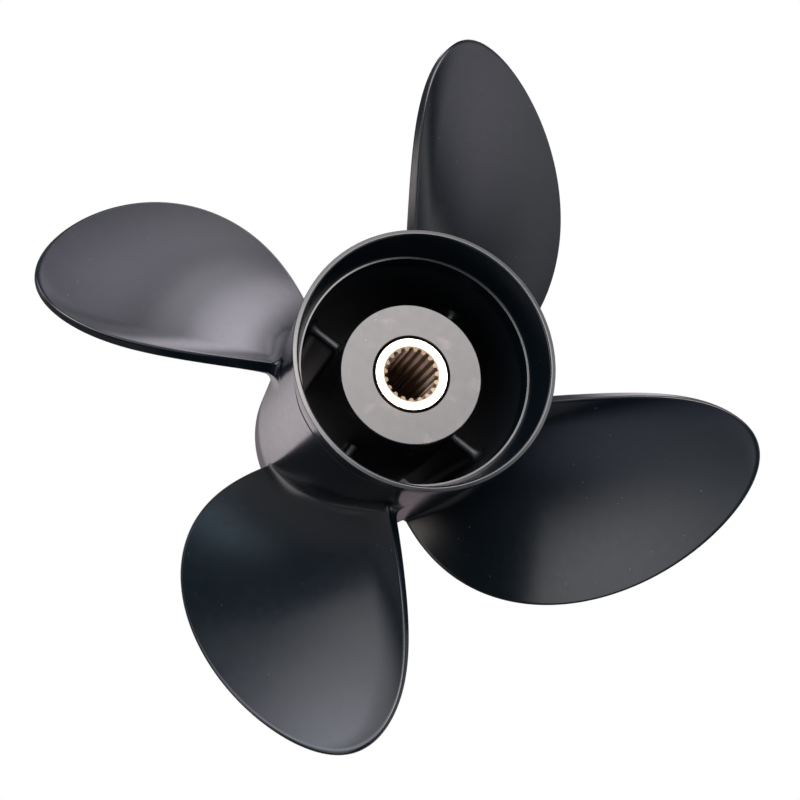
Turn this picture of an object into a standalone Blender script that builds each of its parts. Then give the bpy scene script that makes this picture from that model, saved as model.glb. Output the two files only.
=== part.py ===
"""Four-blade boat propeller with exhaust through its hub, in metres.

+Z is the shaft axis and points aft. The origin is the middle of the barrel's
front face, on which the propeller stands. Angles around the shaft are given as
seen from aft, clockwise, because that is how the propeller turns.
"""

import math

import bmesh
import bpy
from mathutils import Vector

# Gap between neighbouring solids
GAP = 0.0003

# Outer barrel: a slight cone with a turned band under its aft rim
BARREL_LENGTH = 0.167
RIM_OUTER_RADIUS = 0.0611
RIM_INNER_RADIUS = 0.0585
RIM_ROUNDING = 0.0007
BAND_HEIGHT = 0.0043
BAND_STEP = 0.0003
FRONT_RADIUS = 0.0530
FRONT_CHAMFER = 0.0015
FLARE_DEPTH = 0.0197
FLARE_FOOT_RADIUS = 0.0549
PASSAGE_AFT_RADIUS = 0.0542
PASSAGE_FRONT_RADIUS = 0.0480

# Inner hub: carries the bush, and ends in a lip round the sleeve
HUB_FRONT = 0.008
HUB_AFT = 0.1392
HUB_AFT_RADIUS = 0.0340
HUB_FRONT_RADIUS = 0.0356
HUB_LIP = 0.006
HUB_HOLE_RADIUS = 0.01886
HUB_BORE_RADIUS = 0.0270
HUB_CHAMFER = 0.0005

# Ribs from the inner hub to the barrel
RIB_COUNT = 4
RIB_FRONT = 0.009
RIB_AFT = 0.107
RIB_THICKNESS = 0.005
RIB_SEAT_GAP = 0.0004
RIB_ROUNDING = 0.0016
RIB_FIRST_ANGLE = math.radians(40.5)

# Rubber bush and the splined sleeve that is bonded in it
BUSH_FRONT = 0.022
BUSH_AFT = 0.118
SLEEVE_FRONT = 0.014
SLEEVE_AFT = HUB_AFT
SLEEVE_RADIUS = 0.01756
SLEEVE_CHAMFER = 0.0004
BORE_CHAMFER_RADIUS = 0.01366
SPLINE_TEETH = 19
SPLINE_TIP_RADIUS = 0.01143
SPLINE_ROOT_RADIUS = 0.01292
SPLINE_TIP_SHARE = 0.34
SPLINE_ROOT_SHARE = 0.38

# Blades. Planform angles are in degrees round the shaft.
BLADE_COUNT = 4
BLADE_FIRST_ANGLE = math.radians(25.3)
TIP_RADIUS = 0.1778
MIDDLE_RADIUS = 0.111
MIDDLE_STATION = 0.1103
PITCH_AT_MIDDLE = 0.5405
PITCH_GAIN = 0.497
RAKE = 0.285
SKEW_AT_HUB = 13.4
SKEW_BACK = 20.4
SKEW_POWER = 1.78
HALF_CHORD_AT_HUB = 30.7
HALF_CHORD_LOSS = 8.6
HALF_CHORD_POWER = 3.5
ROOT_NARROWING = 1.3
ROOT_TURN = 1.2
ROOT_POWER = 8
ROOT_THICKNESS = 0.0145
TIP_THICKNESS = 0.0050
THICKNESS_POWER = 0.8
LEADING_EDGE_THICKNESS = 0.0024
TRAILING_EDGE_THICKNESS = 0.0036
TIP_EDGE_THICKNESS = (LEADING_EDGE_THICKNESS + TRAILING_EDGE_THICKNESS) / 2
TRAILING_EDGE_BLUNTNESS = 0.35
HOLLOW_DEPTH = 0.0020
CUP_HEIGHT = 0.0016
CUP_WIDTH = 0.012
FILLET_RADIUS = 0.013
FILLET_TRAILING_RADIUS = 0.005
FILLET_LEADING_RADIUS = 0.004
FILLET_END_REACH = 0.5
FILLET_END_SHARE = 0.6

# How finely the solids are divided
BARREL_SEGMENTS = 96
HUB_SEGMENTS = 72
CHORD_STEPS = 16
SPAN_STEPS = 12
FILLET_STEPS = 5
EDGE_STEPS = 6
ROOT_STEPS = 8
SETTLING_ROUNDS = 5
SHARP_ANGLE = math.radians(40)

# Colour, roughness and metallic value of each material
PAINT = ((0.012, 0.012, 0.014, 1.0), 0.32, 0.0)
BRASS = ((0.66, 0.50, 0.33, 1.0), 0.30, 1.0)
RUBBER = ((0.015, 0.015, 0.015, 1.0), 0.75, 0.0)


def clear_scene():
    for thing in list(bpy.data.objects):
        bpy.data.objects.remove(thing, do_unlink=True)


def new_collection(name):
    collection = bpy.data.collections.new(name)
    bpy.context.scene.collection.children.link(collection)
    return collection


def new_material(name, values):
    colour, roughness, metallic = values
    material = bpy.data.materials.new(name)
    material.use_nodes = True
    shader = material.node_tree.nodes["Principled BSDF"]
    shader.inputs["Base Color"].default_value = colour
    shader.inputs["Roughness"].default_value = roughness
    shader.inputs["Metallic"].default_value = metallic
    return material


def new_object(name, mesh, collection, values=None):
    thing = bpy.data.objects.new(name, mesh)
    collection.objects.link(thing)
    if values:
        mesh.materials.append(new_material(name + "_finish", values))
    return thing


def mix(a, b, share):
    return a + (b - a) * share


def barrel_radius(z):
    """Outer radius of the barrel below its turned band."""
    foot = BARREL_LENGTH - BAND_HEIGHT
    return mix(FRONT_RADIUS, RIM_OUTER_RADIUS - BAND_STEP, z / foot)


def passage_radius(z):
    """Inner radius of the barrel in front of the flared mouth."""
    return mix(PASSAGE_FRONT_RADIUS, PASSAGE_AFT_RADIUS, z / (BARREL_LENGTH - FLARE_DEPTH))


def hub_radius(z):
    return mix(HUB_FRONT_RADIUS, HUB_AFT_RADIUS, (z - HUB_FRONT) / (HUB_AFT - HUB_FRONT))


def turned(name, profile, segments, collection, values):
    """A closed profile of (radius, z) points, outer side first and downwards, turned round Z."""
    mesh = bpy.data.meshes.new(name)
    points = [(radius, 0.0, z) for radius, z in profile]
    edges = [(i, (i + 1) % len(points)) for i in range(len(points))]
    mesh.from_pydata(points, edges, [])
    thing = new_object(name, mesh, collection, values)
    screw = thing.modifiers.new("turn", "SCREW")
    screw.axis = "Z"
    screw.angle = math.tau
    screw.steps = segments
    screw.render_steps = segments
    screw.use_merge_vertices = True
    screw.merge_threshold = 0.00001
    screw.use_smooth_shade = True
    return thing


def build_barrel(collection):
    foot = BARREL_LENGTH - BAND_HEIGHT
    ledge = BARREL_LENGTH - FLARE_DEPTH
    profile = [
        (RIM_OUTER_RADIUS - RIM_ROUNDING, BARREL_LENGTH),
        (RIM_OUTER_RADIUS, BARREL_LENGTH - RIM_ROUNDING),
        (RIM_OUTER_RADIUS, foot),
        (barrel_radius(foot), foot - BAND_STEP),
        (barrel_radius(FRONT_CHAMFER), FRONT_CHAMFER),
        (FRONT_RADIUS - FRONT_CHAMFER, 0.0),
        (PASSAGE_FRONT_RADIUS + GAP, 0.0),
        (PASSAGE_FRONT_RADIUS, GAP),
        (PASSAGE_AFT_RADIUS, ledge),
        (FLARE_FOOT_RADIUS, ledge),
        (RIM_INNER_RADIUS, BARREL_LENGTH - GAP),
        (RIM_INNER_RADIUS + GAP, BARREL_LENGTH),
    ]
    return turned("outer_barrel", profile, BARREL_SEGMENTS, collection, PAINT)


def build_inner_hub(collection):
    profile = [
        (HUB_AFT_RADIUS - HUB_CHAMFER, HUB_AFT),
        (HUB_AFT_RADIUS, HUB_AFT - HUB_CHAMFER),
        (hub_radius(HUB_FRONT + HUB_CHAMFER), HUB_FRONT + HUB_CHAMFER),
        (HUB_FRONT_RADIUS - HUB_CHAMFER, HUB_FRONT),
        (HUB_BORE_RADIUS, HUB_FRONT),
        (HUB_BORE_RADIUS, HUB_AFT - HUB_LIP),
        (HUB_HOLE_RADIUS, HUB_AFT - HUB_LIP),
        (HUB_HOLE_RADIUS, HUB_AFT),
    ]
    return turned("inner_hub", profile, HUB_SEGMENTS, collection, PAINT)


def build_bush(collection):
    outer = HUB_BORE_RADIUS - GAP
    inner = SLEEVE_RADIUS + GAP
    profile = [(outer, BUSH_AFT), (outer, BUSH_FRONT), (inner, BUSH_FRONT), (inner, BUSH_AFT)]
    return turned("rubber_bush", profile, HUB_SEGMENTS, collection, RUBBER)


def rib_mesh():
    """A flat rib on +X: its outline in the plane of the shaft, given a thickness."""
    outline = [
        (hub_radius(RIB_FRONT) + RIB_SEAT_GAP, RIB_FRONT),
        (passage_radius(RIB_FRONT) - RIB_SEAT_GAP, RIB_FRONT),
        (passage_radius(RIB_AFT) - RIB_SEAT_GAP, RIB_AFT),
        (hub_radius(RIB_AFT) + RIB_SEAT_GAP, RIB_AFT),
    ]
    frame = bmesh.new()
    corners = [frame.verts.new((x, -RIB_THICKNESS / 2, z)) for x, z in outline]
    face = frame.faces.new(corners)
    grown = bmesh.ops.extrude_face_region(frame, geom=[face])
    moved = [item for item in grown["geom"] if isinstance(item, bmesh.types.BMVert)]
    bmesh.ops.translate(frame, verts=moved, vec=(0.0, RIB_THICKNESS, 0.0))
    bmesh.ops.recalc_face_normals(frame, faces=frame.faces)
    round_rib_ends(frame)
    mesh = bpy.data.meshes.new("rib")
    frame.to_mesh(mesh)
    frame.free()
    return mesh


def round_rib_ends(frame):
    """Rounds the long edges of the rib's fore and aft ends, which stand in the exhaust."""
    ends = []
    for edge in frame.edges:
        first, second = (vert.co for vert in edge.verts)
        if abs(first.z - second.z) < GAP and abs(first.y - second.y) < GAP:
            ends.append(edge)
    bmesh.ops.bevel(
        frame, geom=ends, offset=RIB_ROUNDING, offset_type="OFFSET", segments=2, profile=0.5, affect="EDGES"
    )


def build_ribs(collection):
    for number in range(RIB_COUNT):
        name = f"rib_{number + 1}"
        mesh = rib_mesh()
        mesh.name = name
        rib = new_object(name, mesh, collection, PAINT)
        rib.rotation_euler.z = -(RIB_FIRST_ANGLE + number * math.tau / RIB_COUNT)


def spline_outline():
    """Points round the splined bore, four for each tooth."""
    points = []
    pitch = math.tau / SPLINE_TEETH
    tip = pitch * SPLINE_TIP_SHARE / 2
    root = pitch * (1 - SPLINE_ROOT_SHARE) / 2
    for tooth in range(SPLINE_TEETH):
        middle = tooth * pitch
        for radius, angle in (
            (SPLINE_ROOT_RADIUS, middle - root),
            (SPLINE_TIP_RADIUS, middle - tip),
            (SPLINE_TIP_RADIUS, middle + tip),
            (SPLINE_ROOT_RADIUS, middle + root),
        ):
            points.append((radius * math.cos(angle), radius * math.sin(angle)))
    return points


def spline_cutter(collection):
    overrun = 0.004
    frame = bmesh.new()
    bottom = [frame.verts.new((x, y, SLEEVE_FRONT - overrun)) for x, y in spline_outline()]
    face = frame.faces.new(bottom)
    grown = bmesh.ops.extrude_face_region(frame, geom=[face])
    moved = [item for item in grown["geom"] if isinstance(item, bmesh.types.BMVert)]
    height = SLEEVE_AFT - SLEEVE_FRONT + 2 * overrun
    bmesh.ops.translate(frame, verts=moved, vec=(0.0, 0.0, height))
    bmesh.ops.recalc_face_normals(frame, faces=frame.faces)
    return cutter("spline_cutter", frame, collection)


def chamfer_cutter(name, face_z, towards, collection):
    """A cone whose side leaves the spline's roots and meets the sleeve's end at the chamfer's radius."""
    depth = BORE_CHAMFER_RADIUS - SPLINE_TIP_RADIUS
    frame = bmesh.new()
    bmesh.ops.create_cone(
        frame,
        cap_ends=True,
        segments=HUB_SEGMENTS,
        radius1=SPLINE_TIP_RADIUS - depth,
        radius2=BORE_CHAMFER_RADIUS + depth,
        depth=3 * depth,
    )
    if towards < 0:
        bmesh.ops.rotate(frame, verts=frame.verts, matrix=flip_over())
    bmesh.ops.translate(frame, verts=frame.verts, vec=(0.0, 0.0, face_z - towards * depth / 2))
    return cutter(name, frame, collection)


def flip_over():
    return Vector((0.0, 0.0, 1.0)).rotation_difference(Vector((0.0, 0.0, -1.0))).to_matrix()


def cutter(name, frame, collection):
    mesh = bpy.data.meshes.new(name)
    frame.to_mesh(mesh)
    frame.free()
    thing = new_object(name, mesh, collection)
    thing.hide_render = True
    thing.display_type = "WIRE"
    return thing


def build_sleeve(collection, cutters):
    frame = bmesh.new()
    length = SLEEVE_AFT - SLEEVE_FRONT
    bmesh.ops.create_cone(
        frame,
        cap_ends=True,
        segments=HUB_SEGMENTS,
        radius1=SLEEVE_RADIUS,
        radius2=SLEEVE_RADIUS,
        depth=length,
    )
    bmesh.ops.translate(frame, verts=frame.verts, vec=(0.0, 0.0, (SLEEVE_AFT + SLEEVE_FRONT) / 2))
    rims = [edge for edge in frame.edges if abs(edge.verts[0].co.z - edge.verts[1].co.z) < GAP]
    bmesh.ops.bevel(
        frame, geom=rims, offset=SLEEVE_CHAMFER, offset_type="OFFSET", segments=1, profile=0.5, affect="EDGES"
    )
    mesh = bpy.data.meshes.new("splined_sleeve")
    frame.to_mesh(mesh)
    frame.free()
    sleeve = new_object("splined_sleeve", mesh, collection, BRASS)
    tools = [
        spline_cutter(cutters),
        chamfer_cutter("aft_chamfer_cutter", SLEEVE_AFT, 1, cutters),
        chamfer_cutter("front_chamfer_cutter", SLEEVE_FRONT, -1, cutters),
    ]
    for tool in tools:
        cut = sleeve.modifiers.new(tool.name, "BOOLEAN")
        cut.operation = "DIFFERENCE"
        cut.solver = "EXACT"
        cut.object = tool


def polar(radius, angle, z):
    """A point at an angle counted clockwise as seen from aft."""
    return Vector((radius * math.cos(angle), -radius * math.sin(angle), z))


def planform_angle(across, height):
    """Angle of a point of the planform, which is a half disc bent to the blade's outline.

    Close to the barrel the blade is a little narrower, mostly at its trailing edge.
    """
    near_root = (1 - height) ** ROOT_POWER
    middle = SKEW_AT_HUB - SKEW_BACK * height**SKEW_POWER + ROOT_TURN * near_root
    spread = HALF_CHORD_AT_HUB - HALF_CHORD_LOSS * height**HALF_CHORD_POWER - ROOT_NARROWING * near_root
    return math.radians(middle + spread * across)


def pressure_face_z(radius, angle):
    """Height of the helical face that looks aft, with its rake."""
    beyond = radius - MIDDLE_RADIUS
    pitch = PITCH_AT_MIDDLE + PITCH_GAIN * beyond
    return MIDDLE_STATION + RAKE * beyond - pitch * angle / math.tau


def span_radius(height, z):
    """Radius at a share of the span. The foot of every section lies on the barrel's cone."""
    tip = TIP_RADIUS - TIP_EDGE_THICKNESS / 2
    return mix(barrel_radius(z) + GAP, tip, height)


def section_normal(radius):
    """Round the shaft and along it, the unit vector square to the pressure face."""
    slope = PITCH_AT_MIDDLE / (math.tau * radius)
    length = math.hypot(1.0, slope)
    return slope / length, 1 / length


def inside_outline(across, height):
    """1 in the middle of the root, 0 all along the outline."""
    return max(1 - across * across - height * height, 0.0)


def edge_thickness(across):
    """The trailing edge is blunt, the leading edge thin."""
    return mix(TRAILING_EDGE_THICKNESS, LEADING_EDGE_THICKNESS, (1 + across) / 2)


def blade_thickness(across, height):
    edge = edge_thickness(across)
    most = mix(ROOT_THICKNESS, TIP_THICKNESS, height)
    return edge + (most - edge) * inside_outline(across, height) ** THICKNESS_POWER


def face_lift(across, height):
    """How far the pressure face stands aft of its helix: hollow inside, cupped at the trailing edge."""
    reach = math.sqrt(max(1 - height * height, 0.0))
    radius = mix(RIM_OUTER_RADIUS, TIP_RADIUS, height)
    from_edge = (across + reach) * radius * math.radians(HALF_CHORD_AT_HUB)
    cup = CUP_HEIGHT * reach * max(1 - from_edge / CUP_WIDTH, 0.0) ** 2
    return cup - HOLLOW_DEPTH * inside_outline(across, height)


def fillet_radius(across):
    """The root fillet is smaller towards both ends of the root."""
    end = FILLET_TRAILING_RADIUS if across < 0 else FILLET_LEADING_RADIUS
    share = min((1 - abs(across)) / FILLET_END_REACH, 1.0)
    return mix(end, FILLET_RADIUS, share * share * (3 - 2 * share))


def fillet_growth(across, height):
    """How far the root fillet widens the section at this share of the span."""
    above = height * (TIP_RADIUS - RIM_OUTER_RADIUS)
    radius = fillet_radius(across)
    if above >= radius:
        return 0.0
    return radius - math.sqrt(radius**2 - (radius - above) ** 2)


def blade_point(across, height, side):
    """A point of the pressure face (side 1) or the suction face (side -1)."""
    angle = planform_angle(across, height)
    growth = fillet_growth(across, height)
    square = face_lift(across, height) + growth
    if side < 0:
        square = -blade_thickness(across, height) - growth
    z = MIDDLE_STATION
    for _ in range(SETTLING_ROUNDS):
        radius = span_radius(height, z)
        round_shaft, along_shaft = section_normal(radius)
        z = pressure_face_z(radius, angle) + square * along_shaft
    return polar(radius, angle + square * round_shaft / radius, z)


def half_disc(across, up):
    """Maps a rectangle, across -1 to 1 and up 0 to 1, onto the half disc above a diameter."""
    return across * math.sqrt(1 - up * up / 2), up * math.sqrt(1 - across * across / 2)


def span_rows():
    """Heights of the rows of points, close together in the root fillet."""
    span = TIP_RADIUS - RIM_OUTER_RADIUS
    foot = FILLET_RADIUS / span
    rows = [foot * (1 - math.cos(step * math.pi / 2 / FILLET_STEPS)) for step in range(FILLET_STEPS)]
    return rows + [mix(foot, 1.0, step / SPAN_STEPS) for step in range(SPAN_STEPS + 1)]


def chord_columns():
    return [mix(-1.0, 1.0, step / CHORD_STEPS) for step in range(CHORD_STEPS + 1)]


def blade_stations():
    """The planform's points as (across, height), row by row from the root."""
    return [[half_disc(across, up) for across in chord_columns()] for up in span_rows()]


def fill_between(frame, rows):
    """Faces between neighbouring rows of vertices. A row of one vertex closes to a point."""
    for low, high in zip(rows, rows[1:]):
        for step in range(max(len(low), len(high)) - 1):
            corners = [low[min(step, len(low) - 1)], low[min(step + 1, len(low) - 1)]]
            corners += [high[min(step + 1, len(high) - 1)], high[min(step, len(high) - 1)]]
            frame.faces.new(list(dict.fromkeys(corners)))


def outline_path(stations):
    """Row and column of each point round the outline: trailing edge, tip, leading edge."""
    rows = range(len(stations))
    last_row = len(stations) - 1
    last_column = len(stations[0]) - 1
    path = [(row, 0) for row in rows]
    path += [(last_row, column) for column in range(1, last_column)]
    return path + [(row, last_column) for row in reversed(rows)]


def edge_bulge(across, height):
    """Depth of the rounded edge over half its width: blunt along the trailing edge, round at the leading one."""
    half = edge_thickness(across) / 2
    growth = fillet_growth(across, height)
    bluntness = mix(TRAILING_EDGE_BLUNTNESS, 1.0, (1 + across) / 2)
    return (half * bluntness + growth * FILLET_END_SHARE) / (half + growth)


def on_the_foot(point, height):
    """Keeps a point of the edge on its row's own cone in the root fillet, and free above it."""
    span = TIP_RADIUS - RIM_OUTER_RADIUS
    freedom = min(height * span / FILLET_RADIUS, 1.0)
    radius = math.hypot(point.x, point.y)
    wanted = mix(span_radius(height, point.z), radius, freedom)
    return Vector((point.x * wanted / radius, point.y * wanted / radius, point.z))


def edge_rows(frame, stations, pressure, suction):
    """For each point round the outline, the vertices of its rounded edge from face to face."""
    path = outline_path(stations)
    middles = [(pressure[row][column].co + suction[row][column].co) / 2 for row, column in path]
    centre = blade_point(0.0, 0.5, 1)
    found = []
    for number, (row, column) in enumerate(path):
        across, height = stations[row][column]
        near, far = pressure[row][column], suction[row][column]
        half = (near.co - far.co) / 2
        along = middles[min(number + 1, len(path) - 1)] - middles[max(number - 1, 0)]
        outward = along.cross(half).normalized()
        if outward.dot(middles[number] - centre) < 0:
            outward.negate()
        bulge = outward * half.length * edge_bulge(across, height)
        line = [near]
        for step in range(1, EDGE_STEPS):
            turn = math.pi * step / EDGE_STEPS
            point = middles[number] + half * math.cos(turn) + bulge * math.sin(turn)
            line.append(frame.verts.new(on_the_foot(point, height)))
        found.append(line + [far])
    return found


def foot_line(frame, first, last):
    """Vertices on the barrel's cone from one vertex of the blade's foot to another."""
    line = [first]
    start = math.atan2(first.co.y, first.co.x)
    end = math.atan2(last.co.y, last.co.x)
    for step in range(1, ROOT_STEPS):
        share = step / ROOT_STEPS
        z = mix(first.co.z, last.co.z, share)
        line.append(frame.verts.new(polar(span_radius(0.0, z), -mix(start, end, share), z)))
    return line + [last]


def foot_rows(frame, pressure, suction, trailing, leading):
    """Lines across the foot, from the tip of its trailing end to the tip of its leading end."""
    middle = EDGE_STEPS // 2
    rows = [[trailing[middle]]]
    rows += [foot_line(frame, trailing[step], trailing[-1 - step]) for step in range(middle - 1, 0, -1)]
    rows += [foot_line(frame, near, far) for near, far in zip(pressure[0], suction[0])]
    rows += [foot_line(frame, leading[step], leading[-1 - step]) for step in range(1, middle)]
    return rows + [[leading[middle]]]


def blade_mesh():
    frame = bmesh.new()
    stations = blade_stations()
    pressure = [[frame.verts.new(blade_point(*spot, 1)) for spot in row] for row in stations]
    suction = [[frame.verts.new(blade_point(*spot, -1)) for spot in row] for row in stations]
    edges = edge_rows(frame, stations, pressure, suction)
    fill_between(frame, pressure)
    fill_between(frame, suction)
    fill_between(frame, edges)
    fill_between(frame, foot_rows(frame, pressure, suction, edges[0], edges[-1]))
    bmesh.ops.recalc_face_normals(frame, faces=frame.faces)
    mesh = bpy.data.meshes.new("blade")
    frame.to_mesh(mesh)
    frame.free()
    mesh.shade_smooth()
    mesh.set_sharp_from_angle(angle=SHARP_ANGLE)
    return mesh


def build_blades(collection):
    for number in range(BLADE_COUNT):
        name = f"blade_{number + 1}"
        mesh = blade_mesh()
        mesh.name = name
        blade = new_object(name, mesh, collection, PAINT)
        blade.rotation_euler.z = -(BLADE_FIRST_ANGLE + number * math.tau / BLADE_COUNT)


def main():
    clear_scene()
    propeller = new_collection("boat_propeller")
    cutters = new_collection("cutters")
    build_barrel(propeller)
    build_inner_hub(propeller)
    build_ribs(propeller)
    build_blades(propeller)
    build_bush(propeller)
    build_sleeve(propeller, cutters)


main()
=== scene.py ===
"""Looks of the four-blade boat propeller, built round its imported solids. Metres, +Z aft along the shaft.

Angles round the shaft are counted clockwise as seen from aft, which is how the propeller turns.
"""

import cmath
import math

import bmesh
import bpy
import numpy as np
from mathutils import Matrix, Vector


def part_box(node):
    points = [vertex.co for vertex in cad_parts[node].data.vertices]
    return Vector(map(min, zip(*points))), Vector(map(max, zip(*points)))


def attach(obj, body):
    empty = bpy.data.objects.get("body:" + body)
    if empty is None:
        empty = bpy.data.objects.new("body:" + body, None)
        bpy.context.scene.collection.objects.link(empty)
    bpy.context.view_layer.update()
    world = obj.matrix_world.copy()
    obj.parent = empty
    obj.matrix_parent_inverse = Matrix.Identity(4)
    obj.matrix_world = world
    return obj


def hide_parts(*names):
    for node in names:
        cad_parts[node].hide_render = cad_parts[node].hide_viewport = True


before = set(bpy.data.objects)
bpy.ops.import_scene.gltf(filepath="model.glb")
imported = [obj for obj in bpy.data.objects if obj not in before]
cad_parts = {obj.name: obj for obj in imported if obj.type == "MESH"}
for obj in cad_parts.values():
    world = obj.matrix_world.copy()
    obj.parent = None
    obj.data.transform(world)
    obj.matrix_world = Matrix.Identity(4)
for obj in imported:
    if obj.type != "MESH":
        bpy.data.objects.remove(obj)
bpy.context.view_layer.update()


def turned_size(node):
    """Radius, lowest z and highest z of a node that is turned round the shaft axis."""
    low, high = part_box(node)
    return high[0], low[2], high[2]


# Turned pieces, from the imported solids
RIM_RADIUS, _, LENGTH = turned_size("outer_barrel")
HUB_FRONT_RADIUS, HUB_FRONT, HUB_AFT = turned_size("inner_hub")
SLEEVE_RADIUS, SLEEVE_FRONT, SLEEVE_AFT = turned_size("splined_sleeve")
BUSH_RADIUS, BUSH_FRONT, BUSH_AFT = turned_size("rubber_bush")

# Outer barrel. Its rim slopes down outwards and inwards from a ridge.
FRONT_RADIUS = 0.0530
FRONT_ROUNDING = 0.0015
RIM_ROUNDING = 0.0002
RIM_DROP = 0.00025
RIDGE_RADIUS = 0.0590
RIDGE_ROUNDING = 0.0010
RIM_INNER_RADIUS = 0.0585
RIM_INNER_DROP = 0.0006
RIM_INNER_ROUNDING = 0.0002
BAND_HEIGHT = 0.0043
BAND_STEP = 0.0003
BAND_ROUNDING = 0.0001
FLARE_DEPTH = 0.0197
FLARE_FOOT_RADIUS = 0.0549
LEDGE_ROUNDING = 0.0002
PASSAGE_AFT_RADIUS = 0.0538
PASSAGE_FRONT_RADIUS = 0.0480

# Turned land below the band, which runs out where the cone is clear of the tool.
# The rows across the step at its foot are shares of the step's width.
LAND_FOOT = 0.0123
LAND_STEP = 0.00025
LAND_STEP_WIDTH = 0.0004
LAND_STEP_ROWS = (0.8, 0.5, 0.25, 0.0, -0.25, -0.5, -0.8)
LAND_START = 0.0049
LAND_REACH = 0.026
LAND_MIDDLE_ANGLE = math.radians(143)
LAND_HALF_ANGLE = math.radians(34)
LAND_FADE_ANGLE = math.radians(17)

# Inner hub
HUB_AFT_RADIUS = 0.0340
HUB_LIP = 0.006
HUB_HOLE_RADIUS = 0.01850
HUB_BORE_RADIUS = 0.0270
HUB_ROUNDING = 0.0006
HUB_HOLE_ROUNDING = 0.0003

# Ribs
RIB_COUNT = 4
RIB_FRONT = 0.009
RIB_AFT = 0.107
RIB_THICKNESS = 0.005
RIB_ROUNDING = 0.0022
RIB_FIRST_ANGLE = math.radians(40.5)
RIB_HUB_FILLET = 0.0020
RIB_BARREL_FILLET = 0.0050
RIB_SUNK = 0.001

# Dry paint inside the passage
DRY_ROUGHNESS = 0.45
DRY_EDGE = 0.0004

# Rubber bush, whose ends are hollow
BUSH_HOLLOW = 0.0012
BUSH_SHY = 0.0003

# Splined sleeve
SLEEVE_CHAMFER = 0.0004
BORE_CHAMFER_RADIUS = 0.01366
BORE_CHAMFER_SLOPE = 0.45
SPLINE_TEETH = 19
SPLINE_TIP_RADIUS = 0.01143
SPLINE_ROOT_RADIUS = 0.01292
SPLINE_TIP_SHARE = 0.34
SPLINE_ROOT_SHARE = 0.38
SPLINE_TIP_ROUNDING = 0.00018
SPLINE_ROOT_ROUNDING = 0.00030
CHAMFER_EDGE = 0.0001
STAIN_EDGE = 0.0002
# Depths under the sleeve's aft face where the bore's painted shade begins and where it is full
BORE_LIT_DEPTH = 0.016
BORE_DARK_DEPTH = 0.038
BORE_ROUGHNESS = 0.70

# Blades. Planform angles are in degrees round the shaft.
BLADE_COUNT = 4
BLADE_FIRST_ANGLE = math.radians(25.3)
TIP_RADIUS = 0.1775
MIDDLE_RADIUS = 0.111
MIDDLE_STATION = 0.1103
PITCH_AT_MIDDLE = 0.5405
PITCH_GAIN = 0.497
RAKE = 0.285
SKEW_AT_HUB = 13.4
SKEW_BACK = 20.4
SKEW_POWER = 1.78
HALF_CHORD_AT_HUB = 30.7
HALF_CHORD_LOSS = 8.6
HALF_CHORD_POWER = 3.5
ROOT_NARROWING = 1.3
ROOT_TURN = 1.2
ROOT_POWER = 8
ROOT_THICKNESS = 0.0145
TIP_THICKNESS = 0.0050
THICKNESS_POWER = 0.8
LEADING_EDGE_THICKNESS = 0.0024
TRAILING_EDGE_THICKNESS = 0.0036
TIP_EDGE_THICKNESS = (LEADING_EDGE_THICKNESS + TRAILING_EDGE_THICKNESS) / 2
TRAILING_EDGE_ROUNDING = 0.0007
HOLLOW_DEPTH = 0.0020
CUP_HEIGHT = 0.0016
CUP_WIDTH = 0.012
FILLET_RADIUS = 0.010
FILLET_TRAILING_RADIUS = 0.0060
FILLET_SUCTION_RADIUS = 0.0075
FILLET_LEADING_RADIUS = 0.002
FILLET_END_REACH = 0.9
FILLET_END_SHARE = 0.9
FOOT_SUNK = 0.001
SPAN = TIP_RADIUS - RIM_RADIUS

# How finely the surfaces are divided. Supports lie close beside an arc or an edge.
BARREL_COLUMNS = 384
HUB_COLUMNS = 240
ROUNDING_STEPS = 5
SUPPORT = 0.25
SLEEVE_SUPPORT = 0.005
LONGEST_STRETCH = 0.004
SLEEVE_STRETCHES = 12
RIB_STRETCHES = 24
RIB_FILLET_STEPS = 8
CHORD_STEPS = 96
SPAN_STEPS = 72
FILLET_STEPS = 18
FILLET_CROWDING = 1.3
EDGE_STEPS = 6
EDGE_FLAT = (0.8, 0.3, 0.0, -0.3, -0.8)
FOOT_STEPS = 12
SETTLING_ROUNDS = 6
SHARP_ANGLE = math.radians(40)
WELD = 0.0000005


def mix(a, b, share):
    return a + (b - a) * share


def smooth(value):
    """0 below 0, 1 above 1, with an even run between them."""
    value = np.clip(value, 0.0, 1.0)
    return value * value * (3 - 2 * value)


def barrel_radius(z):
    """Outer radius of the barrel's cone at a height."""
    return mix(FRONT_RADIUS, RIM_RADIUS - BAND_STEP, z / (LENGTH - BAND_HEIGHT))


def passage_radius(z):
    return mix(PASSAGE_FRONT_RADIUS, PASSAGE_AFT_RADIUS, z / (LENGTH - FLARE_DEPTH))


def hub_radius(z):
    return mix(HUB_FRONT_RADIUS, HUB_AFT_RADIUS, (z - HUB_FRONT) / (HUB_AFT - HUB_FRONT))


def polar(radius, angle, z):
    """Points at angles counted clockwise as seen from aft."""
    return np.stack(np.broadcast_arrays(radius * np.cos(angle), -radius * np.sin(angle), z), axis=-1)


# Meshes from outlines and grids


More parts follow.
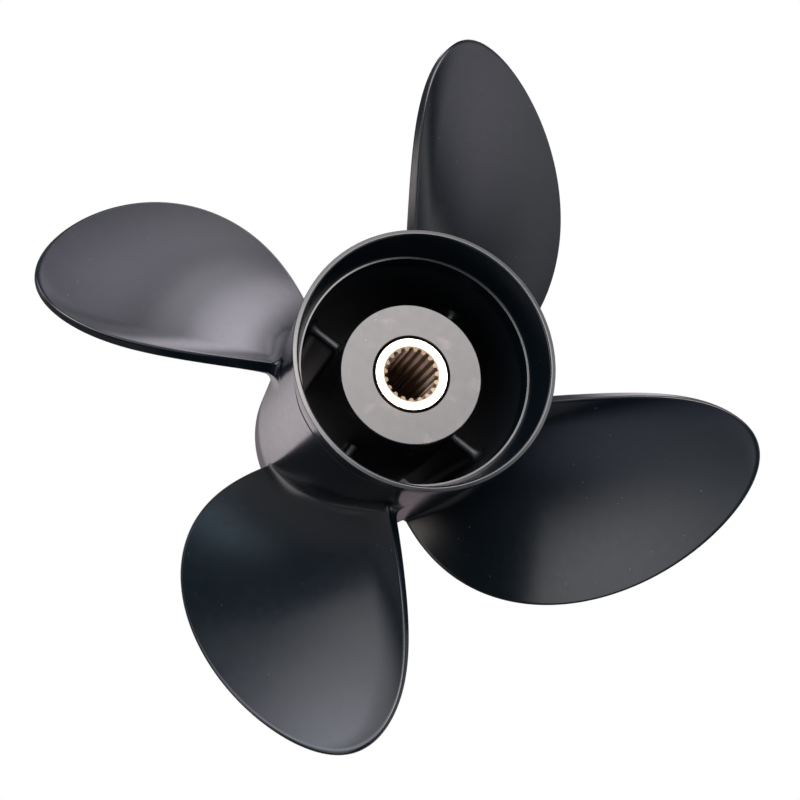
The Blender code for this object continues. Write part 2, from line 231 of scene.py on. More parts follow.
def rounded_outline(corners):
    """Points of a closed outline of (x, y, rounding) corners, as complex numbers.

    A point just before and one just after each arc keep the shading of the flats next to it even.
    """
    points = []
    for number, (x, y, rounding) in enumerate(corners):
        corner = complex(x, y)
        if not rounding:
            points.append(corner)
            continue
        back = complex(*corners[number - 1][:2]) - corner
        ahead = complex(*corners[(number + 1) % len(corners)][:2]) - corner
        back, ahead = back / abs(back), ahead / abs(ahead)
        half = abs(cmath.phase(ahead / back)) / 2
        reach = rounding / math.tan(half)
        centre = corner + (back + ahead) / abs(back + ahead) * rounding / math.sin(half)
        first = corner + back * reach - centre
        turn = cmath.phase((corner + ahead * reach - centre) / first)
        points.append(corner + back * reach * (1 + SUPPORT))
        turns = (turn * step / ROUNDING_STEPS for step in range(ROUNDING_STEPS + 1))
        points += [centre + first * cmath.rect(1, part) for part in turns]
        points.append(corner + ahead * reach * (1 + SUPPORT))
    return points


def divided(points):
    """The closed outline as two arrays, with points added where two neighbours are far apart."""
    out = []
    for here, there in zip(points, points[1:] + points[:1]):
        count = max(1, math.ceil(abs(there - here) / LONGEST_STRETCH))
        out += [mix(here, there, step / count) for step in range(count)]
    return np.real(out), np.imag(out)


def grid_mesh(name, grid, closed_rows=False, closed_columns=True):
    """A mesh of quads through a grid of points."""
    rows, columns = grid.shape[:2]
    index = np.arange(rows * columns).reshape(rows, columns)
    if closed_rows:
        index = np.vstack([index, index[:1]])
    if closed_columns:
        index = np.hstack([index, index[:, :1]])
    quads = np.stack([index[:-1, :-1], index[:-1, 1:], index[1:, 1:], index[1:, :-1]], axis=-1)
    mesh = bpy.data.meshes.new(name)
    mesh.from_pydata(grid.reshape(-1, 3).tolist(), [], quads.reshape(-1, 4).tolist())
    return mesh


def joined(name, meshes):
    """One mesh of several whose borders meet, welded along them."""
    work = bmesh.new()
    for mesh in meshes:
        work.from_mesh(mesh)
        bpy.data.meshes.remove(mesh)
    bmesh.ops.remove_doubles(work, verts=work.verts, dist=WELD)
    whole = bpy.data.meshes.new(name)
    work.to_mesh(whole)
    work.free()
    return whole


def capped(mesh, columns):
    """Closes the first and the last ring of a tube."""
    work = bmesh.new()
    work.from_mesh(mesh)
    work.verts.ensure_lookup_table()
    work.faces.new(work.verts[:columns])
    work.faces.new(work.verts[-columns:])
    work.to_mesh(mesh)
    work.free()
    return mesh


def faced_and_smoothed(mesh):
    """Turns the faces outwards, and shades them smooth except over sharp edges."""
    work = bmesh.new()
    work.from_mesh(mesh)
    bmesh.ops.recalc_face_normals(work, faces=work.faces)
    work.to_mesh(mesh)
    work.free()
    mesh.shade_smooth()
    mesh.set_sharp_from_angle(angle=SHARP_ANGLE)


def add_piece(name, mesh, material, node):
    """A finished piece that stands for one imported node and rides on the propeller's only body."""
    faced_and_smoothed(mesh)
    mesh.materials.append(material)
    piece = bpy.data.objects.new(name, mesh)
    bpy.context.scene.collection.objects.link(piece)
    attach(piece, "root")
    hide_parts(node)
    return piece


def turned_mesh(name, corners):
    radius, z = divided(rounded_outline(corners))
    angles = np.linspace(0.0, math.tau, HUB_COLUMNS, endpoint=False)
    return grid_mesh(name, polar(radius[:, None], angles, z[:, None]), closed_rows=True)


# Barrel


def land_share(angle):
    """How fully the land is cut at an angle: 1 in its middle, 0 where the cone is clear of the tool."""
    off = np.abs((angle - LAND_MIDDLE_ANGLE + math.pi) % math.tau - math.pi)
    return smooth((LAND_HALF_ANGLE - off) / LAND_FADE_ANGLE)


def cut_land(radius, z, angle):
    """Cuts the land into the cone. Its foot rises to the band at both ends, and the rows move with it."""
    depth = LENGTH - z
    top = BAND_HEIGHT + BAND_STEP
    share = land_share(angle)
    foot = mix(LAND_START, LAND_FOOT, share)
    above = top + (depth - top) * (foot - top) / (LAND_FOOT - top)
    below = foot + (depth - LAND_FOOT) * (LAND_REACH - foot) / (LAND_REACH - LAND_FOOT)
    outside = radius > barrel_radius(z) - BAND_ROUNDING
    touched = outside & (depth > top) & (depth < LAND_REACH)
    moved_z = LENGTH - np.where(touched, np.where(depth < LAND_FOOT, above, below), depth)
    below_band = smooth((depth - BAND_HEIGHT) / BAND_STEP)
    above_foot = smooth((LAND_FOOT - depth) / LAND_STEP_WIDTH + 0.5)
    cut = np.where(outside, LAND_STEP * share * below_band * above_foot, 0.0)
    return radius + barrel_radius(moved_z) - barrel_radius(z) - cut, moved_z


def barrel_mesh():
    band_foot = LENGTH - BAND_HEIGHT
    ledge = LENGTH - FLARE_DEPTH
    land_foot = LENGTH - LAND_FOOT
    steps = [land_foot + LAND_STEP_WIDTH * share for share in LAND_STEP_ROWS]
    corners = [
        (RIM_RADIUS, LENGTH - RIM_DROP, RIM_ROUNDING),
        (RIM_RADIUS, band_foot, BAND_ROUNDING),
        (barrel_radius(band_foot), band_foot - BAND_STEP, BAND_ROUNDING),
        *((barrel_radius(z), z, 0) for z in steps),
        (barrel_radius(LENGTH - LAND_REACH), LENGTH - LAND_REACH, 0),
        (barrel_radius(0.0), 0.0, FRONT_ROUNDING),
        (PASSAGE_FRONT_RADIUS, 0.0, LEDGE_ROUNDING),
        (PASSAGE_AFT_RADIUS, ledge, LEDGE_ROUNDING),
        (FLARE_FOOT_RADIUS, ledge, LEDGE_ROUNDING),
        (RIM_INNER_RADIUS, LENGTH - RIM_INNER_DROP, RIM_INNER_ROUNDING),
        (RIDGE_RADIUS, LENGTH, RIDGE_ROUNDING),
    ]
    radius, z = divided(rounded_outline(corners))
    angles = np.linspace(0.0, math.tau, BARREL_COLUMNS, endpoint=False)
    radius, z, angle = np.broadcast_arrays(radius[:, None], z[:, None], angles)
    radius, z = cut_land(radius, z, angle)
    return grid_mesh("cast_barrel", polar(radius, angle, z), closed_rows=True)


# Inner hub, ribs and bush


def hub_mesh():
    corners = [
        (HUB_AFT_RADIUS, HUB_AFT, HUB_ROUNDING),
        (HUB_FRONT_RADIUS, HUB_FRONT, HUB_ROUNDING),
        (HUB_BORE_RADIUS, HUB_FRONT, HUB_HOLE_ROUNDING),
        (HUB_BORE_RADIUS, HUB_AFT - HUB_LIP, 0),
        (HUB_HOLE_RADIUS, HUB_AFT - HUB_LIP, HUB_HOLE_ROUNDING),
        (HUB_HOLE_RADIUS, HUB_AFT, HUB_HOLE_ROUNDING),
    ]
    return turned_mesh("cast_hub", corners)


def bush_mesh():
    inner = SLEEVE_RADIUS + BUSH_SHY
    middle = (BUSH_RADIUS + inner) / 2
    corners = [
        (BUSH_RADIUS, BUSH_AFT, BUSH_SHY),
        (BUSH_RADIUS, BUSH_FRONT, BUSH_SHY),
        (middle, BUSH_FRONT + BUSH_HOLLOW, BUSH_HOLLOW),
        (inner, BUSH_FRONT, BUSH_SHY),
        (inner, BUSH_AFT, BUSH_SHY),
        (middle, BUSH_AFT - BUSH_HOLLOW, BUSH_HOLLOW),
    ]
    return turned_mesh("bonded_rubber", corners)


def fillet_growth(above, radius):
    """How far a fillet widens a wall, at a height above the surface that the wall stands on."""
    left = np.clip(radius - above, 0.0, radius)
    return radius - np.sqrt(radius**2 - left**2)


def rounded_oblong(half_width, low, high, rounding):
    """Arrays x and y round an upright oblong, with the same number of points whatever its size."""
    along = np.linspace(0.0, 1.0, RIB_STRETCHES)[1:-1]
    x, y = [], []
    for quarter, (side, end) in enumerate(((1, 1), (-1, 1), (-1, -1), (1, -1))):
        turn = math.pi / 2 * (quarter + np.linspace(0.0, 1.0, ROUNDING_STEPS + 1))
        x.append(side * (half_width - rounding) + rounding * np.cos(turn))
        y.append((high if end > 0 else low) - end * rounding + rounding * np.sin(turn))
        if side == -end:
            x.append(np.full_like(along, side * half_width))
            y.append(mix(y[-1][-1], high + low - y[-1][-1], along))
    return np.concatenate(x), np.concatenate(y)


def rib_mesh(number):
    """An oblong led from inside the inner hub to inside the barrel, with a fillet at both."""
    middle = (RIB_FRONT + RIB_AFT) / 2
    span = passage_radius(middle) - hub_radius(middle)
    rise = 1 - np.cos(np.linspace(0.0, math.pi / 2, RIB_FILLET_STEPS))
    near = np.concatenate([[-RIB_SUNK], rise * RIB_HUB_FILLET, [span / 3]])
    far = np.concatenate([[-RIB_SUNK], rise * RIB_BARREL_FILLET, [span / 3]])
    rows = []
    for distance in np.concatenate([near, span - far[::-1]]):
        growth = fillet_growth(distance, RIB_HUB_FILLET)
        growth += fillet_growth(span - distance, RIB_BARREL_FILLET)
        low, high = RIB_FRONT - growth / 2, RIB_AFT + growth / 2
        sideways, z = rounded_oblong(RIB_THICKNESS / 2 + growth, low, high, RIB_ROUNDING + growth)
        radius = mix(hub_radius(z), passage_radius(z), distance / span)
        turn = RIB_FIRST_ANGLE + number * math.tau / RIB_COUNT
        rows.append(polar(radius, turn + sideways / radius, z))
    return capped(grid_mesh("cast_rib", np.array(rows)), len(rows[0]))


# Splined sleeve


def spline_outline():
    """Angle and radius of points round the splined bore, its corners rounded."""
    pitch = math.tau / SPLINE_TEETH
    tip = pitch * SPLINE_TIP_SHARE / 2
    root = pitch * (1 - SPLINE_ROOT_SHARE) / 2
    corners = []
    for tooth in range(SPLINE_TEETH):
        for radius, off, rounding in (
            (SPLINE_ROOT_RADIUS, -root, SPLINE_ROOT_ROUNDING),
            (SPLINE_TIP_RADIUS, -tip, SPLINE_TIP_ROUNDING),
            (SPLINE_TIP_RADIUS, tip, SPLINE_TIP_ROUNDING),
            (SPLINE_ROOT_RADIUS, root, SPLINE_ROOT_ROUNDING),
        ):
            point = cmath.rect(radius, tooth * pitch + off)
            corners.append((point.real, point.imag, rounding))
    points = np.array(rounded_outline(corners))
    return -np.angle(points), np.abs(points)


def sleeve_mesh():
    """Rows up the splined bore, out over the aft chamfer and face, down the outside and in again."""
    angle, bore = spline_outline()
    drop = (BORE_CHAMFER_RADIUS - bore) * BORE_CHAMFER_SLOPE
    shoulder = SLEEVE_RADIUS - SLEEVE_CHAMFER
    inset = SLEEVE_CHAMFER / 2
    along = np.linspace(0.0, 1.0, SLEEVE_STRETCHES)
    rows = [(bore, mix(SLEEVE_FRONT + drop, SLEEVE_AFT - drop, share)) for share in along]
    rows += [(mix(bore, BORE_CHAMFER_RADIUS, 0.5), SLEEVE_AFT - drop / 2)]
    face = (BORE_CHAMFER_RADIUS, BORE_CHAMFER_RADIUS + inset, shoulder - inset, shoulder)
    rows += [(radius, SLEEVE_AFT) for radius in face]
    outside = mix(SLEEVE_SUPPORT, 1 - SLEEVE_SUPPORT, along)
    rows += [(SLEEVE_RADIUS, mix(SLEEVE_AFT, SLEEVE_FRONT, share)) for share in outside]
    rows += [(shoulder, SLEEVE_FRONT), (BORE_CHAMFER_RADIUS, SLEEVE_FRONT)]
    rows += [(mix(bore, BORE_CHAMFER_RADIUS, 0.5), SLEEVE_FRONT + drop / 2)]
    grid = np.stack([polar(radius, angle, z) for radius, z in rows])
    return grid_mesh("brass_sleeve", grid, closed_rows=True)


# Blades


def planform_angle(across, height):
    """Angle of a point of the planform, which is a half disc bent to the blade's outline."""
    near_root = (1 - height) ** ROOT_POWER
    middle = SKEW_AT_HUB - SKEW_BACK * height**SKEW_POWER + ROOT_TURN * near_root
    spread = HALF_CHORD_AT_HUB - HALF_CHORD_LOSS * height**HALF_CHORD_POWER - ROOT_NARROWING * near_root
    return np.radians(middle + spread * across)


def pressure_face_z(radius, angle):
    """Height of the helical face that looks aft, with its rake."""
    beyond = radius - MIDDLE_RADIUS
    return MIDDLE_STATION + RAKE * beyond - (PITCH_AT_MIDDLE + PITCH_GAIN * beyond) * angle / math.tau


def span_radius(height, z):
    """Radius at a share of the span. The foot of every section lies on the barrel's cone."""
    return mix(barrel_radius(z), TIP_RADIUS - TIP_EDGE_THICKNESS / 2, height)


def section_normal(radius):
    """Round the shaft and along it, the unit vector square to the pressure face."""
    slope = PITCH_AT_MIDDLE / (math.tau * radius)
    length = np.hypot(1.0, slope)
    return slope / length, 1 / length


def inside_outline(across, height):
    """1 in the middle of the root, 0 all along the outline."""
    return np.maximum(1 - across**2 - height**2, 0.0)


def blade_thickness(across, height):
    edge = mix(TRAILING_EDGE_THICKNESS, LEADING_EDGE_THICKNESS, (1 + across) / 2)
    most = mix(ROOT_THICKNESS, TIP_THICKNESS, height)
    return edge + (most - edge) * inside_outline(across, height) ** THICKNESS_POWER


def face_lift(across, height):
    """How far the pressure face stands aft of its helix: hollow inside, cupped at the trailing edge."""
    reach = np.sqrt(np.maximum(1 - height**2, 0.0))
    radius = mix(RIM_RADIUS, TIP_RADIUS, height)
    from_edge = (across + reach) * radius * math.radians(HALF_CHORD_AT_HUB)
    cup = CUP_HEIGHT * reach * np.maximum(1 - from_edge / CUP_WIDTH, 0.0) ** 2
    return cup - HOLLOW_DEPTH * inside_outline(across, height)


def root_fillet(across, up, side):
    """How far the root fillet widens a face of the blade. It is smaller towards both ends of the root."""
    trailing = FILLET_TRAILING_RADIUS if side > 0 else FILLET_SUCTION_RADIUS
    end = np.where(across < 0, trailing, FILLET_LEADING_RADIUS)
    radius = mix(end, FILLET_RADIUS, smooth((1 - np.abs(across)) / FILLET_END_REACH))
    return fillet_growth(up * SPAN, radius)


def blade_points(across, up, side):
    """Points of the pressure face (side 1) or suction face (side -1).

    Below the foot they go straight towards the shaft.
    """
    height = np.maximum(up, 0.0)
    angle = planform_angle(across, height)
    growth = root_fillet(across, up, side)
    square = face_lift(across, height) + growth
    if side < 0:
        square = -blade_thickness(across, height) - growth
    z = np.full_like(angle, MIDDLE_STATION)
    for _ in range(SETTLING_ROUNDS):
        radius = span_radius(up, z)
        round_shaft, along_shaft = section_normal(radius)
        z = pressure_face_z(radius, angle) + square * along_shaft
    return polar(radius, angle + square * round_shaft / radius, z)


def blade_stations():
    """The planform's points, across and up, in rows that lie close together in the root fillet."""
    foot = FILLET_RADIUS / SPAN
    turn = np.linspace(0.0, 1.0, FILLET_STEPS, endpoint=False) ** FILLET_CROWDING * math.pi / 2
    fillet, above = foot * (1 - np.cos(turn)), np.linspace(foot, 1.0, SPAN_STEPS)
    up = np.concatenate([[-FOOT_SUNK / SPAN], fillet, above])
    up, across = np.meshgrid(up, np.linspace(-1.0, 1.0, CHORD_STEPS + 1), indexing="ij")
    return across * np.sqrt(1 - up**2 / 2), up * np.sqrt(1 - across**2 / 2)


def round_outline(grid):
    """The grid's border from the foot up the trailing edge, over the tip and down the leading edge."""
    return np.concatenate([grid[:, 0], grid[-1, 1:-1], grid[::-1, -1]])


def edge_profile():
    """Shares of the flat's half width, of the corner's width and of its depth, from face to face."""
    turn = np.linspace(0.0, math.pi / 2, EDGE_STEPS + 1)
    ends, flat = np.ones_like(turn), np.array(EDGE_FLAT)
    on_flat = np.concatenate([ends, flat, -ends])
    on_corner = np.concatenate([np.cos(turn), 0 * flat, -np.cos(turn[::-1])])
    depth = np.concatenate([np.sin(turn), 0 * flat + 1, np.sin(turn[::-1])])
    return on_flat, on_corner, depth


def blade_edge(pressure, suction, across, up):
    """The edge that joins the two faces: nearly square along the trailing edge, round at the leading one.

    Towards the foot its two corners widen until they meet, and it spreads into the fillet.
    """
    near, far = round_outline(pressure), round_outline(suction)
    across, up = round_outline(across)[:, None], round_outline(up)[:, None]
    half = (near - far) / 2
    middle = (near + far) / 2
    outward = np.cross(np.gradient(middle, axis=0), half)
    outward /= np.linalg.norm(outward, axis=1, keepdims=True)
    inside = pressure[len(pressure) // 2, pressure.shape[1] // 2]
    outward *= np.sign(np.sum(outward * (middle - inside), axis=1, keepdims=True))
    width = np.linalg.norm(half, axis=1, keepdims=True)
    growth = (root_fillet(across, up, 1) + root_fillet(across, up, -1)) / 2
    bare = mix(TRAILING_EDGE_ROUNDING, np.maximum(width - growth, 0.0), (1 + across) / 2)
    corner = np.minimum(bare + growth, width)
    depth = bare + growth * FILLET_END_SHARE
    on_flat, on_corner, out = edge_profile()
    place = on_flat * (width - corner) + on_corner * corner
    sideways = (half / width)[:, None] * place[..., None]
    outwards = outward[:, None] * (depth * out)[..., None]
    points = middle[:, None] + sideways + outwards
    return on_the_foot(points, up)


def on_the_foot(points, up):
    """Keeps the edge's points on their row's own cone in the root fillet, and lets them go above it."""
    radius = np.hypot(points[..., 0], points[..., 1])
    wanted = mix(span_radius(up, points[..., 2]), radius, np.clip(up * SPAN / FILLET_RADIUS, 0.0, 1.0))
    return points * np.stack([wanted / radius, wanted / radius, np.ones_like(radius)], axis=-1)


def foot_points(pressure, suction, edge):
    """A grid under the foot, inside the barrel's wall, from its trailing end to its leading end."""
    middle = edge.shape[1] // 2
    trailing, leading = edge[0], edge[-1]
    first = np.concatenate([trailing[middle:0:-1], pressure[0], leading[1 : middle + 1]])
    last = np.concatenate([trailing[middle:-1], suction[0], leading[-2 : middle - 1 : -1]])
    share = np.linspace(0.0, 1.0, FOOT_STEPS + 1)
    z = mix(first[:, 2:], last[:, 2:], share)
    start = -np.arctan2(first[:, 1:2], first[:, :1])
    end = -np.arctan2(last[:, 1:2], last[:, :1])
    return polar(span_radius(-FOOT_SUNK / SPAN, z), mix(start, end, share), z)


def blade_mesh(number):
    across, up = blade_stations()
    pressure = blade_points(across, up, 1)
    suction = blade_points(across, up, -1)
    edge = blade_edge(pressure, suction, across, up)
    grids = (pressure, suction, edge, foot_points(pressure, suction, edge))
    mesh = joined("cast_blade", [grid_mesh("part_of_blade", grid, closed_columns=False) for grid in grids])
    mesh.transform(Matrix.Rotation(-(BLADE_FIRST_ANGLE + number * math.tau / BLADE_COUNT), 4, "Z"))
    return mesh


# Materials

# Shades of the paint, its smudges and its dust
PAINT_SHADES = ((0.002, 0.004, 0.006, 1), (0.003, 0.006, 0.009, 1))
SMUDGE_COLOUR = (0.09, 0.07, 0.06, 1)
DUST_COLOUR = (0.22, 0.20, 0.18, 1)

# Shades of the brass: the sleeve's face, the chamfer, the grooves, the teeth, and the painted shade deep in
# the bore
FACE_SHADES = ((0.72, 0.62, 0.50, 1), (0.80, 0.72, 0.60, 1))
CHAMFER_COLOUR = (0.50, 0.39, 0.28, 1)
GROOVE_SHADES = ((0.20, 0.13, 0.07, 1), (0.42, 0.28, 0.16, 1))
TOOTH_COLOUR = (0.98, 0.86, 0.78, 1)
DEEP_SHADE_COLOUR = (0.30, 0.22, 0.15, 1)

# Shades of the rubber
RUBBER_SHADES = ((0.012, 0.012, 0.012, 1), (0.020, 0.020, 0.019, 1))

# Between these lie most of a noise's values
NOISE_LOW, NOISE_HIGH = 0.3, 0.7


def feed(socket, value):
    """Joins a socket to another, or sets its number or colour."""
    if isinstance(value, bpy.types.NodeSocket):
        socket.id_data.links.new(value, socket)
    else:
        socket.default_value = value


def new_node(tree, kind, inputs=None, **settings):
    made = tree.nodes.new("ShaderNode" + kind)
    for name, value in settings.items():
        setattr(made, name, value)
    for name, value in (inputs or {}).items():
        feed(made.inputs[name], value)
    return made


class Look:
    """A material being made: its nodes are added and joined in one call each."""

    def __init__(self, name, metallic):
        self.material = bpy.data.materials.new(name)
        self.material.use_nodes = True
        self.tree = self.material.node_tree
        self.shader = self.tree.nodes["Principled BSDF"]
        self.shader.inputs["Metallic"].default_value = metallic
        self.place = self.node("TexCoord").outputs["Object"]

    def node(self, kind, inputs=None, **settings):
        return new_node(self.tree, kind, inputs, **settings)

    def noise(self, size, detail=2.0):
        """Cloudy values round 0.5 whose features are about as large as size."""
        return self.node("TexNoise", {"Vector": self.place, "Scale": 1 / size, "Detail": detail}).outputs[0]

    def specks(self, spacing):
        """Distance to the nearest of many scattered points, as a share of their spacing."""
        return self.node("TexVoronoi", {"Vector": self.place, "Scale": 1 / spacing}).outputs["Distance"]

    def radius(self):
        """Distance from the shaft axis."""
        inputs = {0: self.place, 1: (1.0, 1.0, 0.0)}
        flat = self.node("VectorMath", inputs, operation="MULTIPLY").outputs["Vector"]
        return self.node("VectorMath", {0: flat}, operation="LENGTH").outputs["Value"]

    def height(self):
        return self.node("SeparateXYZ", {0: self.place}).outputs["Z"]

    def product(self, first, second):
        return self.node("Math", {0: first, 1: second}, operation="MULTIPLY").outputs[0]

    def ramp(self, value, low, high, start, end):
        """Leads low to high onto start to end, and holds values beyond them."""
        inputs = {"Value": value, "From Min": low, "From Max": high, "To Min": start, "To Max": end}
        return self.node("MapRange", inputs).outputs["Result"]

    def blend(self, share, first, second):
        """A colour that goes from first to second as share goes from 0 to 1."""
        made = self.node("Mix", data_type="RGBA")
        for socket, value in zip((made.inputs[0], made.inputs[6], made.inputs[7]), (share, first, second)):
            feed(socket, value)
        return made.outputs[2]

    def between(self, share, first, second):
        """A number that goes from first to second as share goes from 0 to 1."""
        return self.node("Mix", {0: share, 2: first, 3: second}).outputs[0]

    def clouded(self, size, shades):
        """A colour that drifts between two shades."""
        return self.blend(self.noise(size, detail=3.0), *shades)

    def uneven(self, size, low, high):
        """A roughness that drifts between two values."""
        return self.ramp(self.noise(size, detail=3.0), NOISE_LOW, NOISE_HIGH, low, high)

    def bump(self, height, depth, normal=None):
        inputs = {"Height": height, "Distance": depth, "Strength": 1.0}
        if normal:
            inputs["Normal"] = normal
        return self.node("Bump", inputs).outputs["Normal"]

    def finish(self, colour, roughness, normal):
        feed(self.shader.inputs["Base Color"], colour)
        feed(self.shader.inputs["Roughness"], roughness)
        feed(self.shader.inputs["Normal"], normal)
        return self.material


def black_paint(name, scuffed=False):
    """Satin black paint on a casting: soft waves, a fine grain and a few grains of dust.

    It is dry and rougher inside the passage. Scuffed paint also has faint smudges.
    """
    look = Look(name, metallic=0.0)
    colour = look.clouded(size=0.012, shades=PAINT_SHADES)
    if scuffed:
        smudges = look.ramp(look.noise(size=0.010), low=0.58, high=0.85, start=0.0, end=1.0)
        colour = look.blend(smudges, colour, SMUDGE_COLOUR)
    dust = look.ramp(look.specks(spacing=0.006), low=0.02, high=0.04, start=1.0, end=0.0)
    colour = look.blend(dust, colour, DUST_COLOUR)
    inside = look.product(
        look.ramp(look.height(), HUB_AFT - DRY_EDGE, HUB_AFT - 2 * DRY_EDGE, 0.0, 1.0),
        look.ramp(look.radius(), PASSAGE_AFT_RADIUS + DRY_EDGE, PASSAGE_AFT_RADIUS, 0.0, 1.0),
    )
    satin = look.uneven(size=0.004, low=0.19, high=0.23)
    roughness = look.between(inside, satin, DRY_ROUGHNESS)
    waves = look.bump(look.noise(size=0.018, detail=1.0), depth=0.00005)
    grain = look.bump(look.noise(size=0.0012, detail=1.0), depth=0.0000015, normal=waves)
    return look.finish(colour, roughness, grain)


def machined_brass():
    """Bright brass on the sleeve's face, tan on its chamfer, and stained brown inside the splines.

    The tips of the teeth are worn brighter than the grooves, and it all darkens with depth into a painted
    shade.
    """
    look = Look("machined_brass", metallic=1.0)
    radius, height = look.radius(), look.height()
    chamfer = look.ramp(radius, BORE_CHAMFER_RADIUS - CHAMFER_EDGE, BORE_CHAMFER_RADIUS, 1.0, 0.0)
    bright = look.blend(chamfer, look.clouded(size=0.004, shades=FACE_SHADES), CHAMFER_COLOUR)
    worn = look.ramp(radius, SPLINE_TIP_RADIUS, SPLINE_ROOT_RADIUS, 1.0, 0.0)
    stain_and_depth_shade = look.blend(worn, look.clouded(size=0.003, shades=GROOVE_SHADES), TOOTH_COLOUR)
    # Deeper in the bore every colour darkens towards a painted shade, where little light reaches
    above_painted_shade = look.ramp(height, SLEEVE_AFT - BORE_DARK_DEPTH, SLEEVE_AFT - BORE_LIT_DEPTH, 0.0, 1.0)
    stain_and_depth_shade = look.blend(above_painted_shade, DEEP_SHADE_COLOUR, stain_and_depth_shade)
    slope = look.product(radius, BORE_CHAMFER_SLOPE)
    below_chamfer = look.node("Math", {0: slope, 1: height}, operation="SUBTRACT").outputs[0]
    edge = BORE_CHAMFER_RADIUS * BORE_CHAMFER_SLOPE - SLEEVE_AFT
    inside = look.product(
        look.ramp(below_chamfer, edge + STAIN_EDGE, edge + 3 * STAIN_EDGE, 0.0, 1.0),
        look.ramp(radius, SLEEVE_RADIUS, BORE_CHAMFER_RADIUS, 0.0, 1.0),
    )
    ground = look.uneven(size=0.002, low=0.25, high=0.35)
    roughness = look.between(chamfer, ground, BORE_ROUGHNESS)
    normal = look.bump(look.noise(size=0.0006), depth=0.000006)
    return look.finish(look.blend(inside, bright, stain_and_depth_shade), roughness, normal)


def matt_rubber():
    look = Look("matt_black_rubber", metallic=0.0)
    colour = look.clouded(size=0.003, shades=RUBBER_SHADES)
    roughness = look.uneven(size=0.002, low=0.7, high=0.85)
    normal = look.bump(look.noise(size=0.0008), depth=0.00002)
    return look.finish(colour, roughness, normal)


# Scene

# Camera at the photo's viewing angle: its place, and what is right and up in its view
CAMERA_PLACE = (-0.18261, -0.17160, 0.79563)
CAMERA_RIGHT = (0.96742, -0.08464, 0.23861)
CAMERA_UP = (0.02514, 0.96992, 0.24210)
CAMERA_LENS = 67.784
FLOOR_REACH = 4.0
FLOOR_COLOUR = (0.15, 0.15, 0.15, 1)

# Soft lights round the propeller: azimuth, elevation, reach, strength, tint.
# The first is the main light, which the hub's flat face mirrors to the camera.
STUDIO_CORE = 0.02
STUDIO_GLOWS = (
    (146, 66, 0.42, 11.6, (1.06, 0.99, 0.98)),
    (202, 24, 0.42, 0.4, (1.00, 1.00, 1.00)),
    (210, 44, 0.42, 6.4, (0.95, 0.96, 1.10)),
    (225, 24, 0.42, 2.5, (1.00, 0.98, 1.04)),
    (270, 44, 0.42, 1.6, (1.00, 1.00, 1.00)),
    (300, 44, 0.42, 2.3, (0.98, 0.98, 1.04)),
    (330, 44, 0.42, 0.6, (0.96, 0.98, 1.06)),
    (338, 24, 0.42, 0.6, (0.88, 0.91, 1.20)),
    (60, 44, 0.42, 1.0, (1.00, 0.98, 1.02)),
    (76, 24, 0.48, 1.6, (1.00, 0.96, 1.07)),
    (199, 77, 0.27, 15.0, (1.03, 1.00, 0.97)),
    (106, 56, 0.30, 3.4, (1.00, 1.00, 1.02)),
    (264, 9, 0.42, 3.6, (1.08, 0.99, 0.94)),
    (42, 27, 0.40, 0.9, (1.00, 1.00, 1.04)),
    (0, 88, 0.30, 1.5, (1.00, 1.00, 1.00)),
    (142, 4, 0.42, 2.3, (1.00, 0.93, 1.09)),
    (119, 4, 0.36, 2.0, (1.00, 0.97, 1.05)),
    (185, 4, 0.42, 1.0, (0.75, 1.00, 1.25)),
)

# Light on the floor: centre, reach, evenly lit core, strength, tint.
# The last lights the exhaust passage and the bore from below.
FLOOR_GLOWS = (
    ((-0.115, -0.02, 0.0), 0.11, 0.02, 1.15, (1.04, 0.95, 1.01)),
    ((0.13, 0.29, 0.0), 0.21, 0.12, 2.9, (1.00, 0.94, 1.06)),
    ((0.028, -0.078, 0.0), 0.036, 0.015, 0.20, (1.15, 0.92, 1.05)),
    ((0.60, 0.75, 0.0), 0.58, 0.05, 3.5, (0.98, 0.96, 1.08)),
    ((0.80, -0.02, 0.0), 0.55, 0.02, 0.6, (1.00, 1.00, 1.00)),
    ((0.0, 0.0, 0.0), 0.050, 0.046, 0.06, (1.06, 0.97, 1.02)),
)


def add_camera():
    data = bpy.data.cameras.new("camera")
    data.lens = CAMERA_LENS
    camera = bpy.data.objects.new("camera", data)
    right = Vector(CAMERA_RIGHT).normalized()
    back = right.cross(Vector(CAMERA_UP)).normalized()
    axes = Matrix((right, back.cross(right), back)).transposed()
    camera.matrix_world = Matrix.Translation(CAMERA_PLACE) @ axes.to_4x4()
    bpy.context.scene.collection.objects.link(camera)
    bpy.context.scene.camera = camera


def direction(azimuth, elevation):
    """The unit vector towards a light. Azimuth 0 is along -Y and 90 along +X, both in degrees."""
    turn, rise = math.radians(azimuth), math.radians(elevation)
    return Vector((math.sin(turn) * math.cos(rise), -math.cos(turn) * math.cos(rise), math.sin(rise)))


def glows(tree, place, lights):
    """The summed colour of soft round lights, each a centre, a reach, a core, a strength and a tint."""
    total = (0.0, 0.0, 0.0)
    for centre, reach, core, strength, tint in lights:
        away = new_node(tree, "VectorMath", {0: place, 1: centre}, operation="DISTANCE").outputs["Value"]
        ends = {"Value": away, "From Min": reach, "From Max": core, "To Min": 0.0, "To Max": strength}
        share = new_node(tree, "MapRange", ends, interpolation_type="SMOOTHSTEP").outputs["Result"]
        inputs = {0: share, 1: tint, 2: total}
        total = new_node(tree, "VectorMath", inputs, operation="MULTIPLY_ADD").outputs["Vector"]
    return total


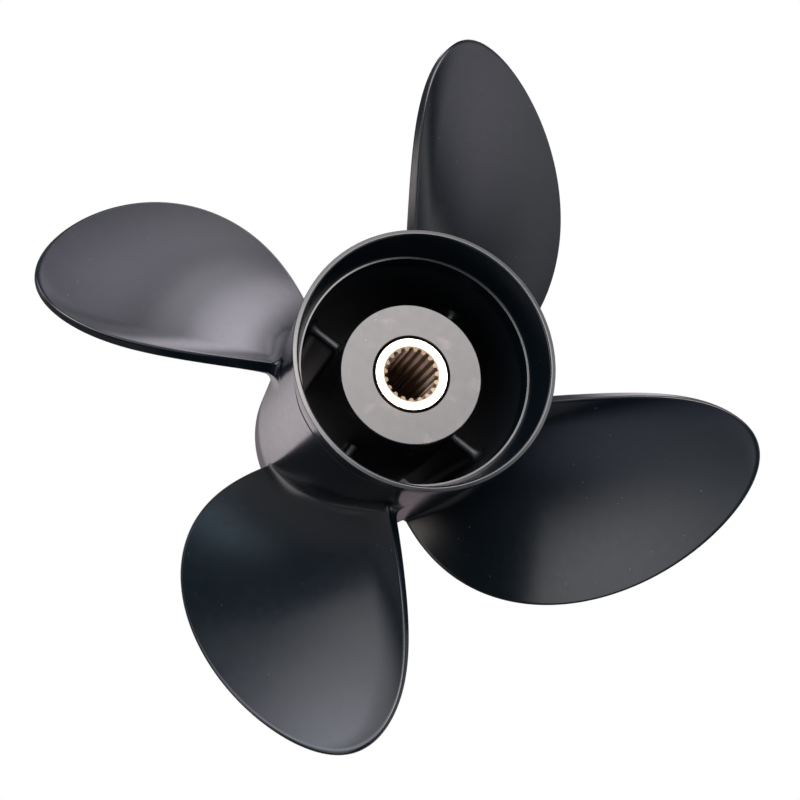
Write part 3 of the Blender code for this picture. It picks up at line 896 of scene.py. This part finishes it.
def add_floor():
    """A plain floor. The camera sees it white, except under the barrel, and reflections see its lights."""
    mesh = bpy.data.meshes.new("floor")
    corners = [(x * FLOOR_REACH, y * FLOOR_REACH, 0.0) for x, y in ((-1, -1), (1, -1), (1, 1), (-1, 1))]
    mesh.from_pydata(corners, [], [(0, 1, 2, 3)])
    material = bpy.data.materials.new("pale_floor")
    material.use_nodes = True
    tree = material.node_tree
    tree.nodes.clear()
    place = new_node(tree, "NewGeometry").outputs["Position"]
    matt = new_node(tree, "BsdfDiffuse", {"Color": FLOOR_COLOUR}).outputs[0]
    glow = new_node(tree, "Emission", {"Color": glows(tree, place, FLOOR_GLOWS)}).outputs[0]
    lit = new_node(tree, "AddShader", {0: matt, 1: glow}).outputs[0]
    white = new_node(tree, "Emission", {"Color": (1, 1, 1, 1)}).outputs[0]
    seen = new_node(tree, "LightPath").outputs["Is Camera Ray"]
    from_axis = new_node(tree, "VectorMath", {0: place}, operation="LENGTH").outputs["Value"]
    clear = new_node(tree, "Math", {0: from_axis, 1: FRONT_RADIUS}, operation="GREATER_THAN").outputs[0]
    seen = new_node(tree, "Math", {0: seen, 1: clear}, operation="MULTIPLY").outputs[0]
    shown = new_node(tree, "MixShader", {0: seen, 1: lit, 2: white}).outputs[0]
    new_node(tree, "OutputMaterial", {"Surface": shown})
    mesh.materials.append(material)
    floor = bpy.data.objects.new("floor", mesh)
    bpy.context.scene.collection.objects.link(floor)


def add_studio():
    """A dark studio with soft round lights, whose backdrop is white to the camera."""
    world = bpy.data.worlds.new("studio")
    bpy.context.scene.world = world
    world.use_nodes = True
    tree = world.node_tree
    tree.nodes.clear()
    place = new_node(tree, "TexCoord").outputs["Generated"]
    unit = new_node(tree, "VectorMath", {0: place}, operation="NORMALIZE").outputs["Vector"]
    lights = []
    for turn, rise, reach, strength, tint in STUDIO_GLOWS:
        lights.append((direction(turn, rise), reach, STUDIO_CORE, strength, tint))
    lit = new_node(tree, "Background", {"Color": glows(tree, unit, lights)}).outputs[0]
    white = new_node(tree, "Background", {"Color": (1, 1, 1, 1)}).outputs[0]
    seen = new_node(tree, "LightPath").outputs["Is Camera Ray"]
    shown = new_node(tree, "MixShader", {0: seen, 1: lit, 2: white}).outputs[0]
    new_node(tree, "OutputWorld", {"Surface": shown})


def main():
    paint = black_paint("satin_black_paint")
    scuffed = black_paint("scuffed_black_paint", scuffed=True)
    brass, rubber = machined_brass(), matt_rubber()
    add_piece("cast_barrel", barrel_mesh(), paint, "outer_barrel")
    add_piece("cast_hub", hub_mesh(), scuffed, "inner_hub")
    for number in range(RIB_COUNT):
        node = f"rib_{number + 1}"
        add_piece("cast_" + node, rib_mesh(number), paint, node)
    for number in range(BLADE_COUNT):
        node = f"blade_{number + 1}"
        add_piece("cast_" + node, blade_mesh(number), paint, node)
    add_piece("bonded_rubber", bush_mesh(), rubber, "rubber_bush")
    add_piece("brass_sleeve", sleeve_mesh(), brass, "splined_sleeve")
    add_floor()
    add_studio()
    add_camera()
    bpy.context.scene.view_settings.view_transform = "Standard"


main()
